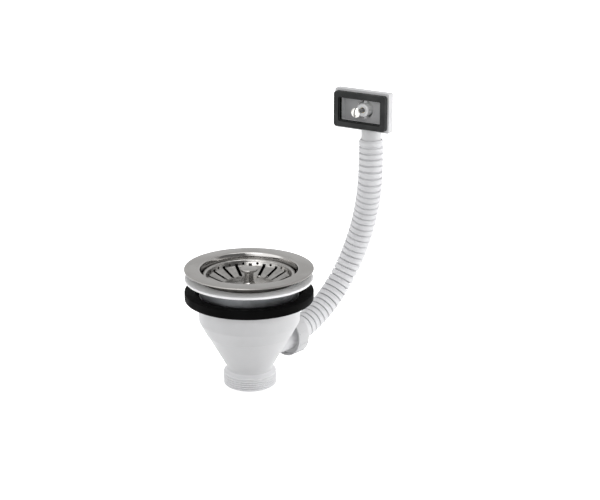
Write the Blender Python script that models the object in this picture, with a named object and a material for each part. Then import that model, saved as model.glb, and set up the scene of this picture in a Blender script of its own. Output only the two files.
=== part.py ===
# Kitchen sink basket strainer waste with a corrugated overflow hose and a rectangular overflow head.
#
# Units are metres and +Z is up. The origin is on the waste's axis, in the plane of the sink deck:
# the flange lies on that plane from above. +X is to the right of the waste and +Y is towards the back.

import math

import bmesh
import bpy
from mathutils import Matrix, Vector

mm = 0.001

# Clearance between pieces that touch or slide on the real product, and the overrun of a cutter.
clearance = 0.3 * mm
overrun = 2.0 * mm

# Number of flats round each kind of turned piece.
large_sides = 48
small_sides = 24
hose_sides = 16
arc_steps = 4

# Strainer bowl: one spun sheet of stainless steel.
flange_radius = 57.5 * mm
bowl_sheet = 1.0 * mm
well_radius = 43.3 * mm
mouth_round = 1.5 * mm
bowl_depth = 24.0 * mm
bowl_corner = 4.0 * mm
seat_inner_radius = 27.0 * mm
sump_radius = 13.0 * mm
sump_drop = 3.5 * mm
drain_count = 8
drain_radius = 4.5 * mm
drain_ring_radius = 20.0 * mm

# Loose ring washer round the bowl, above the sink.
washer_radius = 57.0 * mm
washer_top = 7.3 * mm
washer_thickness = 2.0 * mm

# Rubber gasket under the sink, with a rebate for the body's rim.
gasket_width = 12.9 * mm
gasket_top = 19.5 * mm
gasket_height = 8.5 * mm
gasket_web = 4.6 * mm
gasket_skirt = 2.2 * mm

# Waste body: moulded funnel with a rim, a threaded outlet and a side branch.
body_rim_thickness = 2.5 * mm
body_gap = 0.6 * mm
body_wall = 2.2 * mm
body_barrel_length = 20.6 * mm
cone_length = 43.6 * mm
neck_radius = 20.8 * mm
neck_length = 2.0 * mm
outlet_radius = 23.75 * mm
outlet_shoulder = 2.3 * mm
outlet_length = 12.8 * mm
outlet_chamfer = 0.7 * mm
outlet_wall = 4.9 * mm

# Spider inside the body: a loose hub on two crossing bars that takes the centre screw.
hub_radius = 10.5 * mm
hub_length = 21.2 * mm
spider_bar_thickness = 3.0 * mm
spider_bar_depth = 10.0 * mm
spider_bar_rise = 0.6 * mm
spider_end_gap = 0.5 * mm

# Branch for the overflow, its seal and its union nut, measured out from the waste's axis.
branch_angle = math.radians(47.5)
branch_height = 75.8 * mm
branch_reach = 52.6 * mm
branch_radius = 14.0 * mm
branch_bore_radius = 10.5 * mm
branch_thread_radius = 18.6 * mm
branch_thread_length = 3.9 * mm
branch_seal_thickness = 1.9 * mm
branch_seal_width = 7.0 * mm
hose_collar_thickness = 1.4 * mm
nut_radius = 20.0 * mm
nut_length = 13.7 * mm
nut_web = 1.6 * mm
nut_chamfer = 0.6 * mm

# Basket: one pressed sheet with slots in its cone and holes in its wall.
basket_sheet = 0.8 * mm
basket_rim_radius = 41.5 * mm
basket_rim_width = 4.0 * mm
basket_rim_drop = 4.0 * mm
basket_rim_curl = 1.4 * mm
basket_wall_depth = 2.8 * mm
basket_wall_taper = 1.0 * mm
basket_floor_radius = 22.6 * mm
basket_floor_depth = 14.5 * mm
slot_count = 18
slot_phase = math.radians(90.0)
slot_width = 1.9 * mm
slot_inner_margin = 0.9 * mm
slot_outer_margin = 2.0 * mm
slot_wall_rise = 1.5 * mm
wall_hole_radius = 1.4 * mm
wall_hole_sides = 8

# Knob with its stem, the plug seal under the basket, its nut and the grip ring on the stem.
knob_radius = 7.5 * mm
knob_rise = 0.4 * mm
knob_thickness = 2.2 * mm
knob_edge = 0.6 * mm
knob_neck_radius = 3.8 * mm
knob_neck_depth = 2.4 * mm
knob_foot_radius = 5.2 * mm
knob_foot_depth = 3.0 * mm
stem_radius = 2.6 * mm
stem_length = 21.5 * mm
stem_groove_depth = 0.6 * mm
stem_groove_width = 1.8 * mm
stem_groove_rise = 3.2 * mm
stem_tip_chamfer = 0.6 * mm
seal_thickness = 2.2 * mm
seal_disc_radius = 22.0 * mm
seal_lip_radius = 31.0 * mm
seal_lip_width = 2.6 * mm
seal_nut_radius = 5.4 * mm
seal_nut_height = 3.0 * mm

# Hollow centre screw and the brass nut that it pulls on.
screw_head_radius = 9.0 * mm
screw_head_height = 2.4 * mm
screw_head_edge = 0.9 * mm
screw_radius = 4.7 * mm
screw_bore_depth = 17.0 * mm
screw_tail = 1.2 * mm
insert_radius = 7.5 * mm
insert_height = 6.0 * mm

# Overflow hose: a corrugated pipe between the branch and the overflow head.
hose_radius = 11.5 * mm
hose_groove_depth = 1.2 * mm
hose_bore_radius = 8.9 * mm
hose_cuff_length = 13.0 * mm
hose_lead = 1.0 * mm
hose_end_chamfer = 0.5 * mm
hose_rib_count = 33
hose_groove_share = 0.17
hose_start_reach = 18.7 * mm
hose_end_reach = 43.8 * mm
hose_low_shares = (1.035, 2.83, 0.117)
hose_high_shares = (0.967, 0.857, 0.81)
route_steps = 240

# Overflow head: a tray behind a rectangular gasket, with an elbow down to a stub.
head_place = Vector((98.0 * mm, 60.5 * mm, 128.3 * mm))
head_turn = math.radians(-33.0)
overflow_width = 53.2 * mm
overflow_height = 32.2 * mm
overflow_bar = 5.0 * mm
overflow_gasket_thickness = 4.7 * mm
overflow_corner = 2.6 * mm
tray_side_margin = 1.4 * mm
tray_top_margin = 1.9 * mm
tray_corner = 1.0 * mm
tray_depth = 7.4 * mm
tray_back_wall = 2.0 * mm
elbow_setback = 22.8 * mm
elbow_radius = 10.8 * mm
elbow_bore_radius = 8.4 * mm
stub_radius = 9.25 * mm
stub_wall = 1.85 * mm
stub_drop = 42.0 * mm
stub_insertion = 12.0 * mm
boss_radius = 6.0 * mm
boss_front = 6.5 * mm
boss_length = 9.0 * mm
bridge_thickness = 2.6 * mm
bridge_depth = 3.5 * mm

# Screw and insert of the overflow head.
overflow_screw_radius = 2.0 * mm
overflow_screw_reach = 6.7 * mm
overflow_head_radius = 4.8 * mm
overflow_head_height = 3.0 * mm
overflow_slot_width = 1.2 * mm
overflow_slot_depth = 1.3 * mm
overflow_insert_wall = 1.3 * mm
overflow_insert_length = 7.4 * mm

smooth_angle = math.radians(35.0)


def clear_scene():
    """Remove whatever the file holds, so that the model starts from nothing."""
    for item in list(bpy.data.objects):
        bpy.data.objects.remove(item)


def finish(name, color, roughness, metallic=0.0):
    """A plain Principled material."""
    made = bpy.data.materials.new(name)
    made.use_nodes = True
    shader = made.node_tree.nodes["Principled BSDF"]
    shader.inputs["Base Color"].default_value = (*color, 1.0)
    shader.inputs["Roughness"].default_value = roughness
    shader.inputs["Metallic"].default_value = metallic
    return made


def place(name, shape, material=None, parent=None):
    """Turn a bmesh into an object, smooth except at its real edges."""
    mesh = bpy.data.meshes.new(name)
    shape.to_mesh(mesh)
    shape.free()
    mesh.shade_smooth()
    mesh.set_sharp_from_angle(angle=smooth_angle)
    made = bpy.data.objects.new(name, mesh)
    bpy.context.scene.collection.objects.link(made)
    if material is not None:
        mesh.materials.append(material)
    made.parent = parent
    return made


def tool(name, shape, parent=None):
    """An object that only cuts or joins another one."""
    made = place(name, shape, parent=parent)
    made.hide_render = True
    made.display_type = "WIRE"
    return made


def combine(target, other, operation):
    """Cut or join one object with another."""
    step = target.modifiers.new(other.name, "BOOLEAN")
    step.operation = operation
    step.solver = "EXACT"
    step.object = other


def arc(center, radius, start, end, steps=arc_steps):
    """Points of an arc in a section, from one angle to the other, in degrees."""
    angles = [math.radians(start + (end - start) * i / steps) for i in range(steps + 1)]
    return [(center[0] + radius * math.cos(a), center[1] + radius * math.sin(a)) for a in angles]


def thickened(line, thickness):
    """Close an open section line with a copy of it that lies a sheet's thickness to its left."""
    back = []
    for i, (r, z) in enumerate(line):
        before = line[max(i - 1, 0)]
        after = line[min(i + 1, len(line) - 1)]
        here = Vector((r, z))
        into = (here - Vector(before)).normalized() if i > 0 else None
        out = (Vector(after) - here).normalized() if i < len(line) - 1 else None
        into = into or out
        out = out or into
        middle = (into + out).normalized()
        normal = Vector((-middle.y, middle.x))
        stretch = 1.0 / max(normal.dot(Vector((-into.y, into.x))), 0.5)
        moved = here + normal * thickness * stretch
        back.append((moved.x, moved.y))
    return line + back[::-1]


def turned(section, sides):
    """Spin a section (radius, height) round Z. A section that meets the axis gives a solid."""
    shape = bmesh.new()
    points = [shape.verts.new((r, 0.0, z)) for r, z in section]
    closed = min(r for r, z in section) > 0
    pairs = list(zip(points, points[1:]))
    if closed:
        pairs.append((points[-1], points[0]))
    lines = [shape.edges.new(pair) for pair in pairs]
    bmesh.ops.spin(
        shape, geom=points + lines, cent=(0, 0, 0), axis=(0, 0, 1), dvec=(0, 0, 0),
        angle=math.tau, steps=sides, use_merge=True,
    )
    bmesh.ops.remove_doubles(shape, verts=shape.verts, dist=clearance / 100)
    bmesh.ops.recalc_face_normals(shape, faces=shape.faces)
    return shape


def rod(radius, length, sides, start=0.0):
    """A round bar along +Z."""
    return turned([(0, start + length), (radius, start + length), (radius, start), (0, start)], sides)


def moved(shape, matrix):
    """The same shape, moved and turned."""
    bmesh.ops.transform(shape, matrix=matrix, verts=shape.verts)
    return shape


def block(width, depth, height, center):
    """A box by its three sizes and its centre."""
    shape = bmesh.new()
    bmesh.ops.create_cube(shape, size=1.0)
    return moved(shape, Matrix.Translation(center) @ Matrix.Diagonal((width, depth, height, 1.0)))


def rounded_plate(width, depth, height, front, corner):
    """A plate that faces -Y with its front at a given place and its four corners rounded."""
    shape = block(width, depth, height, Vector((0, front + depth / 2, 0)))
    edges = [e for e in shape.edges if abs(e.verts[0].co.y - e.verts[1].co.y) > depth / 2]
    bmesh.ops.bevel(
        shape, geom=edges, offset=corner, offset_type="OFFSET", segments=arc_steps,
        profile=0.5, affect="EDGES", material=-1,
    )
    return shape


def merge(target, other):
    """Add one bmesh's separate bodies to another."""
    mesh = bpy.data.meshes.new("merged")
    other.to_mesh(mesh)
    other.free()
    target.from_mesh(mesh)
    bpy.data.meshes.remove(mesh)


def ring_of(make, count, phase):
    """Copies of a shape set round Z."""
    whole = bmesh.new()
    for i in range(count):
        merge(whole, moved(make(), Matrix.Rotation(phase + math.tau * i / count, 4, "Z")))
    return whole


# Heights and radii that follow from the sizes above.
wall_outer = well_radius + bowl_sheet
fit_radius = wall_outer + clearance
gasket_radius = fit_radius + gasket_width
body_radius = fit_radius + body_gap
floor_top = -bowl_depth
sump_top = floor_top - sump_drop
sump_under = sump_top - bowl_sheet
screw_hole_radius = screw_radius + clearance
rim_top = -gasket_top - gasket_web - clearance
rim_bottom = rim_top - body_rim_thickness
rim_radius = gasket_radius - gasket_skirt - clearance
cone_top = rim_bottom - body_barrel_length
cone_bottom = cone_top - cone_length
cone_slope = (body_radius - neck_radius) / cone_length
cone_wall = body_wall * math.sqrt(1 + cone_slope ** 2)
body_inner_radius = body_radius - body_wall
inner_cone = body_radius - cone_wall
spider_seat = cone_top + (body_inner_radius - inner_cone) / cone_slope
neck_bottom = cone_bottom - neck_length
outlet_top = neck_bottom - outlet_shoulder
outlet_bottom = outlet_top - outlet_length
outlet_bore = outlet_radius - outlet_wall
hub_top = sump_under - clearance
hub_bottom = hub_top - hub_length
basket_floor = -basket_floor_depth
basket_under = basket_floor - basket_sheet
stem_hole_radius = stem_radius + clearance
stem_top = basket_floor + clearance
stem_tip = stem_top - stem_length
seal_top = basket_under - clearance
seal_under = seal_top - seal_thickness
screw_seat = sump_top + clearance
screw_bore_radius = stem_radius + 2 * clearance
screw_end = hub_bottom - screw_tail
stub_bore_radius = stub_radius - stub_wall
hose_socket_radius = stub_radius + 2 * clearance
tray_front = overflow_gasket_thickness + clearance
tray_back = tray_front + tray_depth
overflow_boss_bore = overflow_screw_radius + 2 * clearance + overflow_insert_wall
branch_out = Vector((math.cos(branch_angle), math.sin(branch_angle), 0))
branch_frame = Matrix.Rotation(branch_angle, 4, "Z") @ Matrix.Rotation(math.pi / 2, 4, "Y")
branch_place = Matrix.Translation((0, 0, -branch_height)) @ branch_frame
seal_start = branch_reach + clearance
collar_start = seal_start + branch_seal_thickness + clearance
nut_web_start = collar_start + hose_collar_thickness + clearance
nut_end = nut_web_start + nut_web
nut_start = nut_end - nut_length
nut_hole_radius = hose_radius + clearance
nut_inner_radius = branch_thread_radius + clearance
collar_radius = branch_thread_radius - clearance


def make_bowl():
    """Flange, well and dished floor, with the screw hole and the ring of drain holes."""
    mouth = (well_radius + mouth_round, bowl_sheet - mouth_round)
    corner = (well_radius - bowl_corner, floor_top + bowl_corner)
    line = [(flange_radius, bowl_sheet)]
    line += arc(mouth, mouth_round, 90, 180)
    line += arc(corner, bowl_corner, 0, -90)
    line += [(seat_inner_radius, floor_top), (sump_radius, sump_top), (screw_hole_radius, sump_top)]
    steel = finish("bowl_steel", (0.56, 0.55, 0.53), 0.3, 1.0)
    bowl = place("strainer_bowl", turned(thickened(line, bowl_sheet), large_sides), steel)
    depth = sump_drop + bowl_sheet + 2 * overrun

    def drain():
        hole = rod(drain_radius, depth, wall_hole_sides + wall_hole_sides // 2, sump_under - overrun)
        return moved(hole, Matrix.Translation((drain_ring_radius, 0, 0)))

    combine(bowl, tool("cut_drains", ring_of(drain, drain_count, 0.0)), "DIFFERENCE")


def make_washer():
    """Flat ring that slides on the bowl's wall."""
    low = -washer_top - washer_thickness
    section = [
        (fit_radius, -washer_top), (washer_radius, -washer_top), (washer_radius, low), (fit_radius, low),
    ]
    white = finish("washer_white", (0.86, 0.86, 0.86), 0.45)
    place("flange_washer", turned(section, large_sides), white)


def make_gasket():
    """Thick ring whose skirt hangs round the body's rim."""
    top = -gasket_top
    web = top - gasket_web
    skirt = gasket_radius - gasket_skirt
    section = [
        (fit_radius, top), (gasket_radius, top), (gasket_radius, top - gasket_height),
        (skirt, top - gasket_height), (skirt, web), (fit_radius, web),
    ]
    rubber = finish("gasket_rubber", (0.02, 0.02, 0.02), 0.6)
    place("body_gasket", turned(section, large_sides), rubber)


def make_body():
    """Funnel with rim, outlet and branch, as one moulding."""
    outer = [(0, rim_top), (rim_radius, rim_top), (rim_radius, rim_bottom), (body_radius, rim_bottom)]
    outer += [(body_radius, cone_top), (neck_radius, cone_bottom), (neck_radius, neck_bottom)]
    outer += [(outlet_radius - outlet_chamfer, outlet_top), (outlet_radius, outlet_top - outlet_chamfer)]
    outer += [(outlet_radius, outlet_bottom + outlet_chamfer), (outlet_radius - outlet_chamfer, outlet_bottom)]
    outer += [(0, outlet_bottom)]
    white = finish("body_plastic", (0.84, 0.84, 0.85), 0.4)
    body = place("waste_body", turned(outer, large_sides), white)

    thread_start = branch_reach - branch_thread_length
    pipe = [(0, 0), (branch_radius, 0), (branch_radius, thread_start), (branch_thread_radius, thread_start)]
    pipe += [(branch_thread_radius, branch_reach), (0, branch_reach)]
    combine(body, tool("join_branch", moved(turned(pipe, small_sides), branch_place)), "UNION")

    low = cone_top - (inner_cone - outlet_bore) / cone_slope
    inside = [(0, rim_top + overrun), (body_inner_radius, rim_top + overrun), (body_inner_radius, spider_seat)]
    inside += [(outlet_bore, low), (outlet_bore, outlet_bottom - overrun), (0, outlet_bottom - overrun)]
    combine(body, tool("cut_funnel", turned(inside, large_sides)), "DIFFERENCE")
    bore = moved(rod(branch_bore_radius, branch_reach + overrun, small_sides), branch_place)
    combine(body, tool("cut_branch_bore", bore), "DIFFERENCE")


def make_spider():
    """Hub on two crossing bars that stand on the funnel's shoulder and take the screw's pull."""
    white = finish("spider_plastic", (0.84, 0.84, 0.85), 0.4)
    spider = place("hub_spider", rod(hub_radius, hub_length, small_sides, hub_bottom), white)
    span = 2 * (body_inner_radius - spider_end_gap)
    level = spider_seat + spider_bar_depth / 2
    for index in range(2):
        bar = block(span, spider_bar_thickness, spider_bar_depth, Vector((0, 0, level)))
        turn = Matrix.Rotation(branch_angle + math.pi / 4 + index * math.pi / 2, 4, "Z")
        level += spider_bar_rise
        combine(spider, tool(f"join_bar_{index}", moved(bar, turn)), "UNION")
    shaft = rod(screw_hole_radius, hub_length + 2 * overrun, small_sides, hub_bottom - overrun)
    combine(spider, tool("cut_hub", shaft), "DIFFERENCE")
    pocket = rod(insert_radius + clearance, insert_height + clearance + overrun, 6, hub_bottom - overrun)
    combine(spider, tool("cut_pocket", pocket), "DIFFERENCE")


def make_center_screw():
    """Hollow screw from the bowl's floor into the hub, and the brass nut in the hub."""
    crown = screw_seat + screw_head_height
    section = [
        (0, screw_end), (screw_radius, screw_end), (screw_radius, screw_seat), (screw_head_radius, screw_seat),
        (screw_head_radius, crown - screw_head_edge), (screw_head_radius - screw_head_edge, crown),
        (screw_bore_radius, crown), (screw_bore_radius, crown - screw_bore_depth), (0, crown - screw_bore_depth),
    ]
    steel = finish("screw_steel", (0.6, 0.6, 0.6), 0.25, 1.0)
    place("center_screw", turned(section, small_sides), steel)
    low = hub_bottom
    high = low + insert_height
    brass = finish("insert_brass", (0.75, 0.58, 0.3), 0.35, 1.0)
    nut = place("center_insert", rod(insert_radius, insert_height, 6, low), brass)
    hole = rod(screw_hole_radius, high - low + 2 * overrun, small_sides, low - overrun)
    combine(nut, tool("cut_insert", hole), "DIFFERENCE")


def make_basket(lift):
    """Pressed basket: curled rim, holed wall, slotted cone and flat floor."""
    half = basket_rim_width / 2
    crest = -basket_rim_drop - half
    wall_radius = basket_rim_radius - basket_rim_width
    foot = (wall_radius - basket_wall_taper, crest - basket_wall_depth)
    line = [(basket_rim_radius, crest - basket_rim_curl)]
    line += arc((basket_rim_radius - half, crest), half, 0, 180)
    line += [foot, (basket_floor_radius, basket_floor), (stem_hole_radius, basket_floor)]
    steel = finish("basket_steel", (0.6, 0.58, 0.55), 0.25, 1.0)
    sides = slot_count * 3
    basket = place("strainer_basket", turned(thickened(line, basket_sheet), sides), steel, lift)

    inner = basket_floor_radius + slot_inner_margin
    outer = foot[0] + slot_outer_margin
    low = basket_floor - overrun
    high = foot[1] + slot_wall_rise
    middle = Vector(((inner + outer) / 2, 0, (low + high) / 2))

    def slot():
        return block(outer - inner, slot_width, high - low, middle)

    combine(basket, tool("cut_slots", ring_of(slot, slot_count, slot_phase), lift), "DIFFERENCE")

    def wall_hole():
        hole = rod(wall_hole_radius, 2 * overrun, wall_hole_sides, -overrun)
        turn = Matrix.Rotation(math.pi / 2, 4, "Y")
        spot = Matrix.Translation(((wall_radius + foot[0]) / 2, 0, (crest + foot[1]) / 2))
        return moved(hole, spot @ turn)

    between = slot_phase + math.pi / slot_count
    combine(basket, tool("cut_wall_holes", ring_of(wall_hole, slot_count, between), lift), "DIFFERENCE")


def make_knob(lift):
    """Mushroom knob and stem in one, with the grip ring in the stem's groove."""
    crown = knob_rise
    brim = crown - knob_thickness
    groove_low = stem_tip + stem_groove_rise
    groove_high = groove_low + stem_groove_width
    groove_radius = stem_radius - stem_groove_depth
    section = [
        (0, crown), (knob_radius - knob_edge, crown), (knob_radius, crown - knob_edge), (knob_radius, brim),
        (knob_neck_radius, brim - knob_neck_depth), (knob_neck_radius, stem_top + knob_foot_depth),
        (knob_foot_radius, stem_top), (stem_radius, stem_top), (stem_radius, groove_high),
        (groove_radius, groove_high), (groove_radius, groove_low), (stem_radius, groove_low),
        (stem_radius, stem_tip + stem_tip_chamfer), (stem_radius - stem_tip_chamfer, stem_tip), (0, stem_tip),
    ]
    steel = finish("knob_steel", (0.62, 0.6, 0.57), 0.2, 1.0)
    place("basket_knob", turned(section, small_sides), steel, lift)
    inner = groove_radius + clearance
    outer = stem_radius + clearance
    low = groove_low + clearance
    high = groove_high - clearance
    ring = [(inner, high), (outer, high), (outer, low), (inner, low)]
    rubber = finish("ring_rubber", (0.03, 0.03, 0.03), 0.5)
    place("stem_grip_ring", turned(ring, small_sides), rubber, lift)


def make_plug_seal(lift):
    """Rubber plug seal under the basket, and the nut that holds it."""
    lip = floor_top + clearance
    section = [
        (stem_hole_radius, seal_top), (seal_disc_radius, seal_top), (seal_lip_radius, lip),
        (seal_lip_radius - seal_lip_width, lip), (seal_disc_radius - seal_lip_width, seal_under),
        (stem_hole_radius, seal_under),
    ]
    rubber = finish("seal_rubber", (0.03, 0.03, 0.03), 0.55)
    place("plug_seal", turned(section, large_sides), rubber, lift)
    top = seal_under - clearance
    steel = finish("nut_steel", (0.6, 0.6, 0.6), 0.3, 1.0)
    nut = place("seal_nut", rod(seal_nut_radius, seal_nut_height, 6, top - seal_nut_height), steel, lift)
    bore = rod(stem_hole_radius, seal_nut_height + 2 * overrun, small_sides, top - seal_nut_height - overrun)
    combine(nut, tool("cut_seal_nut", bore, lift), "DIFFERENCE")


def make_branch_fittings():
    """Seal and union nut on the branch, both on the branch's own axis."""
    seal = [
        (collar_radius, seal_start + branch_seal_thickness), (collar_radius, seal_start),
        (collar_radius - branch_seal_width, seal_start),
        (collar_radius - branch_seal_width, seal_start + branch_seal_thickness),
    ]
    rubber = finish("branch_rubber", (0.05, 0.05, 0.05), 0.6)
    place("branch_seal", moved(turned(seal, small_sides), branch_place), rubber)
    nut = [
        (nut_hole_radius, nut_end), (nut_radius - nut_chamfer, nut_end), (nut_radius, nut_end - nut_chamfer),
        (nut_radius, nut_start), (nut_inner_radius, nut_start), (nut_inner_radius, nut_web_start),
        (nut_hole_radius, nut_web_start),
    ]
    white = finish("nut_plastic", (0.84, 0.84, 0.85), 0.4)
    place("branch_nut", moved(turned(nut, large_sides), branch_place), white)


def head_matrix():
    """Frame of the overflow head: its gasket faces -Y there."""
    return Matrix.Translation(head_place) @ Matrix.Rotation(head_turn, 4, "Z")


def stub_top_point():
    """Where the hose ends on the stub."""
    return head_matrix() @ Vector((0, elbow_setback, -stub_drop + stub_insertion))


def hose_route():
    """Centre line of the hose: straight in both fittings and one smooth curve between them."""
    start = Vector((0, 0, -branch_height)) + branch_out * (nut_end + hose_lead)
    end = stub_top_point() - Vector((0, 0, stub_insertion))
    span = end - start
    low = start + Vector([a * b for a, b in zip(span, hose_low_shares)])
    high = start + Vector([a * b for a, b in zip(span, hose_high_shares)])
    poles = [start, start + branch_out * hose_start_reach, low, high]
    poles += [end - Vector((0, 0, hose_end_reach)), end]
    degree = len(poles) - 1
    points = [start - branch_out * (nut_end + hose_lead - collar_start)]
    for i in range(route_steps + 1):
        t = i / route_steps
        weights = [math.comb(degree, k) * (1 - t) ** (degree - k) * t ** k for k in range(degree + 1)]
        points.append(sum((p * w for p, w in zip(poles, weights)), Vector((0, 0, 0))))
    points.append(stub_top_point())
    return points


def frames_along(points):
    """Length so far and a frame that doesn't twist, at each point of a route."""
    lengths = [0.0]
    for a, b in zip(points, points[1:]):
        lengths.append(lengths[-1] + (b - a).length)
    last = len(points) - 1
    tangents = [(points[min(i + 1, last)] - points[max(i - 1, 0)]).normalized() for i in range(last + 1)]
    side = Vector((0, 0, 1))
    frames = []
    for tangent in tangents:
        side = (side - tangent * side.dot(tangent)).normalized()
        frames.append((side.copy(), tangent))
    return lengths, frames


def ring_at(shape, route, lengths, frames, where, radius):
    """A circle of edges across the route, at a length along it."""
    index = 1
    while index < len(lengths) - 1 and lengths[index] < where:
        index += 1
    share = (where - lengths[index - 1]) / (lengths[index] - lengths[index - 1])
    center = route[index - 1].lerp(route[index], share)
    tangent = frames[index - 1][1].lerp(frames[index][1], share).normalized()
    side = frames[index - 1][0].lerp(frames[index][0], share)
    side = (side - tangent * side.dot(tangent)).normalized()
    across = tangent.cross(side)
    frame = Matrix((side, across, tangent)).transposed().to_4x4()
    frame.translation = center
    made = bmesh.ops.create_circle(shape, cap_ends=False, radius=radius, segments=hose_sides, matrix=frame)
    return list({e for v in made["verts"] for e in v.link_edges})


def make_hose():
    """Corrugated pipe with a plain cuff and a collar at its lower end."""
    route = hose_route()
    lengths, frames = frames_along(route)
    total = lengths[-1]
    collar_end = hose_collar_thickness
    ribs_start = nut_end - collar_start + hose_cuff_length
    pitch = (total - ribs_start) / hose_rib_count
    groove = hose_radius - hose_groove_depth
    outer = [(0.0, collar_radius), (collar_end - hose_end_chamfer, collar_radius), (collar_end, hose_radius)]
    outer += [(ribs_start - pitch * hose_groove_share, hose_radius)]
    for i in range(hose_rib_count):
        low = ribs_start + i * pitch
        outer.append((low, groove))
        outer.append((low + pitch * hose_groove_share, hose_radius))
        outer.append((low + pitch * (1 - hose_groove_share), hose_radius))
    outer.append((total - hose_end_chamfer, groove))
    socket = total - stub_insertion - clearance
    inner = [(total, hose_socket_radius), (socket, hose_socket_radius)]
    steps = hose_rib_count - 2
    inner += [(socket - hose_end_chamfer, hose_bore_radius)]
    inner += [(socket - (socket - collar_end) * i / steps, hose_bore_radius) for i in range(1, steps)]
    inner += [(hose_end_chamfer, hose_bore_radius)]
    shape = bmesh.new()
    loops = [ring_at(shape, route, lengths, frames, where, radius) for where, radius in outer + inner]
    for a, b in zip(loops, loops[1:] + loops[:1]):
        bmesh.ops.bridge_loops(shape, edges=a + b)
    bmesh.ops.recalc_face_normals(shape, faces=shape.faces)
    white = finish("hose_plastic", (0.84, 0.84, 0.85), 0.45)
    place("overflow_hose", shape, white)


def make_overflow_head(head):
    """Tray, elbow, stub and the bridge with its boss, as one moulding."""
    white = finish("head_plastic", (0.86, 0.86, 0.87), 0.4)
    width = overflow_width + 2 * tray_side_margin
    height = overflow_height + 2 * tray_top_margin
    tray = rounded_plate(width, tray_depth, height, tray_front, tray_corner)
    body = place("overflow_head", tray, white, head)

    back = Matrix.Rotation(-math.pi / 2, 4, "X")
    dome = arc((0, elbow_setback), elbow_radius, 90, 0)
    dome[0] = (0, elbow_setback + elbow_radius)
    lead = dome + [(elbow_radius, tray_back - tray_back_wall / 2), (0, tray_back - tray_back_wall / 2)]
    combine(body, tool("join_lead", moved(turned(lead, small_sides), back), head), "UNION")
    drop = rod(stub_radius, stub_drop, small_sides, -stub_drop)
    drop = moved(drop, Matrix.Translation((0, elbow_setback, 0)))
    combine(body, tool("join_stub", drop, head), "UNION")

    cavity_width = overflow_width - 2 * overflow_bar
    cavity_height = overflow_height - 2 * overflow_bar
    cavity_depth = tray_depth - tray_back_wall + overrun
    cavity = rounded_plate(cavity_width, cavity_depth, cavity_height, tray_front - overrun, overflow_corner / 2)
    combine(body, tool("cut_cavity", cavity, head), "DIFFERENCE")
    reach = elbow_setback - tray_back + 2 * tray_back_wall
    mouth = moved(rod(elbow_bore_radius, reach, small_sides, tray_back - 2 * tray_back_wall), back)
    combine(body, tool("cut_mouth", mouth, head), "DIFFERENCE")
    bore = rod(stub_bore_radius, stub_drop + overrun, small_sides, -stub_drop - overrun)
    bore = moved(bore, Matrix.Translation((0, elbow_setback, 0)))
    combine(body, tool("cut_stub", bore, head), "DIFFERENCE")

    boss = moved(rod(boss_radius, boss_length, small_sides, boss_front), back)
    combine(body, tool("join_boss", boss, head), "UNION")
    bridge_height = 2 * elbow_bore_radius + tray_back_wall
    middle = Vector((0, tray_back - tray_back_wall / 2 + bridge_depth / 2, 0))
    bridge = block(bridge_thickness, bridge_depth, bridge_height, middle)
    combine(body, tool("join_bridge", bridge, head), "UNION")
    socket = moved(rod(overflow_boss_bore, boss_length + 2 * overrun, small_sides, boss_front - overrun), back)
    combine(body, tool("cut_boss", socket, head), "DIFFERENCE")


def make_overflow_gasket(head):
    """Rubber frame on the tray's face."""
    rubber = finish("overflow_rubber", (0.02, 0.02, 0.02), 0.6)
    plate = rounded_plate(overflow_width, overflow_gasket_thickness, overflow_height, 0.0, overflow_corner)
    frame = place("overflow_gasket", plate, rubber, head)
    width = overflow_width - 2 * overflow_bar
    height = overflow_height - 2 * overflow_bar
    depth = overflow_gasket_thickness + 2 * overrun
    hole = rounded_plate(width, depth, height, -overrun, overflow_corner / 2)
    combine(frame, tool("cut_overflow_gasket", hole, head), "DIFFERENCE")


def make_overflow_screw(head):
    """Domed, slotted screw and the insert that it turns in."""
    back = Matrix.Rotation(-math.pi / 2, 4, "X")
    top = -overflow_screw_reach - overflow_head_height / 2
    under = top + overflow_head_height
    edge = under - overflow_head_height / 3
    sag = edge - top
    dome = (overflow_head_radius ** 2 + sag ** 2) / (2 * sag)
    swing = math.degrees(math.asin(overflow_head_radius / dome))
    section = arc((0, top + dome), dome, -90, -90 + swing)
    section[0] = (0, top)
    tip = boss_front + overflow_insert_length
    section += [(overflow_head_radius, under), (overflow_screw_radius, under)]
    section += [(overflow_screw_radius, tip), (0, tip)]
    steel = finish("overflow_steel", (0.7, 0.7, 0.68), 0.2, 1.0)
    screw = place("overflow_screw", moved(turned(section, small_sides), back), steel, head)
    center = Vector((0, top + (overflow_slot_depth - overrun) / 2, 0))
    slot = block(overflow_slot_width, overflow_slot_depth + overrun, 3 * overflow_head_radius, center)
    combine(screw, tool("cut_overflow_slot", slot, head), "DIFFERENCE")
    inner = overflow_screw_radius + clearance
    outer = inner + overflow_insert_wall
    low = boss_front + clearance
    high = low + overflow_insert_length
    brass = finish("overflow_brass", (0.75, 0.58, 0.3), 0.35, 1.0)
    ring = [(inner, high), (outer, high), (outer, low), (inner, low)]
    place("overflow_insert", moved(turned(ring, small_sides), back), brass, head)


def empty(name, matrix):
    """A frame that carries other objects."""
    made = bpy.data.objects.new(name, None)
    bpy.context.scene.collection.objects.link(made)
    made.matrix_world = matrix
    return made


clear_scene()
make_bowl()
make_washer()
make_gasket()
make_body()
make_spider()
make_center_screw()
basket_lift = empty("basket_lift", Matrix.Identity(4))
make_basket(basket_lift)
make_knob(basket_lift)
make_plug_seal(basket_lift)
make_branch_fittings()
make_hose()
head_frame = empty("head_frame", head_matrix())
make_overflow_head(head_frame)
make_overflow_gasket(head_frame)
make_overflow_screw(head_frame)
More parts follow.
